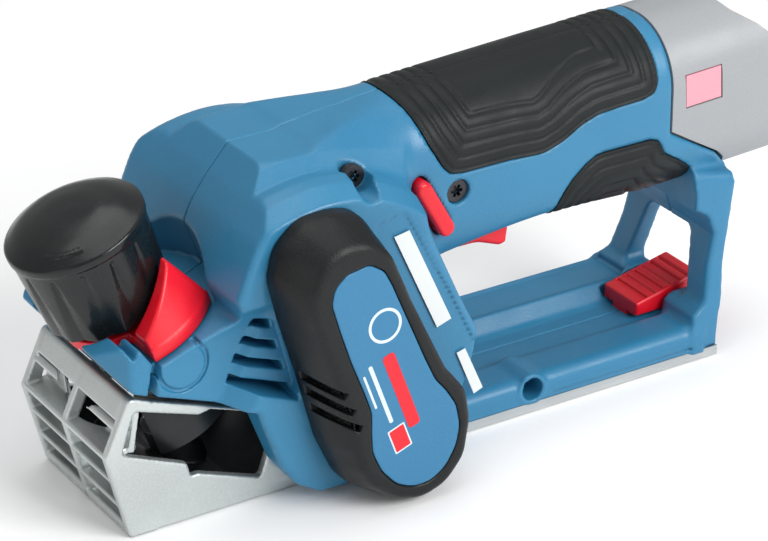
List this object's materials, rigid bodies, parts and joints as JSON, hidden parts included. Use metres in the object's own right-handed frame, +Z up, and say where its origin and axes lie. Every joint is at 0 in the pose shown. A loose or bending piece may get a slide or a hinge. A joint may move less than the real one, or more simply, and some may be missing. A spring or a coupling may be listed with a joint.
{
  "type": "cordless electric hand planer",
  "caption": "Compact battery hand planer with a domed depth knob, grilled aluminium front shoe, side belt cover, gripped D handle and rear battery pack.",
  "frame": {"origin": "centre of the rear sole's underside", "axes": "+X towards the battery end, +Y away from the belt cover, +Z up, square to the rear sole"},
  "size_m": [0.286, 0.102, 0.1214],
  "materials": {
    "casing_blue": "spark-eroded satin",
    "grip_black": "soft matt",
    "cover_black": "spark-eroded satin",
    "knob_black": "satin",
    "inner_black": "matt",
    "panel_blue": "smooth satin",
    "control_red": "fine satin",
    "cast_aluminium": "die-cast, satin",
    "sole_aluminium": "brushed along its length",
    "bright_steel": "turned",
    "dark_steel": "blackened",
    "lamination_steel": "varnished laminations",
    "copper_wire": "enamelled copper",
    "belt_rubber": "moulded rubber",
    "board_green": "solder resist",
    "component_grey": "moulded",
    "contact_brass": "plated",
    "lead_red": "PVC insulation",
    "lead_orange": "PVC insulation",
    "label_pale": "printed film",
    "battery_grey": "fine satin",
    "battery_pink": "fine satin",
    "cell_wrap": "shrink sleeve"
  },
  "bodies": {
    "casing": {"left_housing": "casing_blue", "right_housing": "casing_blue", "upper_grip_left": "grip_black", "upper_grip_right": "grip_black", "lower_grip_left": "grip_black", "lower_grip_right": "grip_black", "belt_cover": "cover_black", "cover_panel": "panel_blue", "rear_sole": "sole_aluminium", "sole_screws": "bright_steel", "shoe_seal": "inner_black", "adjuster_plate": "cast_aluminium", "housing_screws": "dark_steel", "motor_stator": "lamination_steel", "motor_windings": "copper_wire", "motor_bearings": "bright_steel", "drive_belt": "belt_rubber", "drum_bearings": "bright_steel", "control_board": "board_green", "board_capacitors": "component_grey", "trigger_switch": "component_grey", "terminal_block": "component_grey", "contact_blades": "contact_brass", "battery_leads": "lead_red", "motor_leads": "lead_orange", "side_label": "label_pale", "serial_label": "label_pale", "trigger_pin": "bright_steel"},
    "motor": {"motor_rotor": "lamination_steel", "motor_shaft": "bright_steel", "cooling_fan": "inner_black", "motor_pulley": "bright_steel"},
    "cutter": {"cutter_drum": "sole_aluminium", "planer_blade": "bright_steel", "blade_clamp": "dark_steel", "blade_screws": "dark_steel", "drum_pulley": "bright_steel", "pulley_nut": "bright_steel"},
    "adjuster": {"depth_knob": "knob_black", "depth_spindle": "bright_steel", "spindle_clip": "dark_steel"},
    "chip_selector": {"chip_lever": "control_red", "chip_vane": "inner_black"},
    "shoe": {"front_shoe": "cast_aluminium", "shoe_spring": "bright_steel"},
    "lock_off": {"lock_button_left": "control_red", "lock_button_right": "control_red", "lock_bar": "inner_black"},
    "switch_trigger": {"trigger": "control_red", "trigger_spring": "bright_steel"},
    "battery": {"battery_case": "battery_grey", "battery_cells": "cell_wrap", "battery_trim": "battery_pink", "battery_contacts": "contact_brass"},
    "release_left": {"release_button_left": "battery_pink"},
    "release_right": {"release_button_right": "battery_pink"},
    "key_drawer": {"key_holder": "control_red", "hex_key": "dark_steel"}
  },
  "joints": [
    {"name": "cutter_spin", "type": "hinge", "parent": "casing", "child": "cutter", "pos_m": [-0.0736, 0, 0.0229], "axis": [0, 1, 0], "continuous": true},
    {"name": "motor_spin", "type": "hinge", "parent": "casing", "child": "motor", "pos_m": [-0.093, 0, 0.0775], "axis": [0, 1, 0], "continuous": true},
    {"name": "depth_turn", "type": "hinge", "parent": "casing", "child": "adjuster", "pos_m": [-0.1588, 0, 0.0959], "axis": [0.3469, 0, -0.9379], "range_deg": [0, 307.2]},
    {"name": "shoe_slide", "type": "slide", "parent": "casing", "child": "shoe", "axis": [-0.3469, 0, 0.9379], "range_m": [0, 0.00213], "deforming": ["shoe_spring"]},
    {"name": "chip_select", "type": "hinge", "parent": "casing", "child": "chip_selector", "pos_m": [-0.1588, 0, 0.0959], "axis": [-0.3469, 0, 0.9379], "range_deg": [0, 128]},
    {"name": "lock_push", "type": "slide", "parent": "casing", "child": "lock_off", "axis": [0, 1, 0], "range_m": [-0.0025, 0.0025], "stiffness_N_per_m": 900},
    {"name": "trigger_pull", "type": "hinge", "parent": "casing", "child": "switch_trigger", "pos_m": [-0.0266, 0, 0.0616], "axis": [0, -1, 0], "range_deg": [0, 7], "stiffness_Nm_per_rad": 0.6, "springref_deg": -6.88, "deforming": ["trigger_spring"]},
    {"name": "battery_slide", "type": "slide", "parent": "casing", "child": "battery", "axis": [0.9986, 0, 0.0523], "range_m": [0, 0.042]},
    {"name": "release_left_press", "type": "slide", "parent": "battery", "child": "release_left", "axis": [0, 1, 0], "range_m": [0, 0.0015], "stiffness_N_per_m": 800, "springref_m": -0.0005},
    {"name": "release_right_press", "type": "slide", "parent": "battery", "child": "release_right", "axis": [0, -1, 0], "range_m": [0, 0.0015], "stiffness_N_per_m": 800, "springref_m": -0.0005},
    {"name": "key_slide", "type": "slide", "parent": "casing", "child": "key_drawer", "axis": [1, 0, 0], "range_m": [0, 0.045]}
  ],
  "couplings": [
    {"joint": "motor_spin", "follows": "cutter_spin", "ratio": 1.45},
    {"joint": "depth_turn", "follows": "shoe_slide", "rad_per_m": 2513.3}
  ]
}
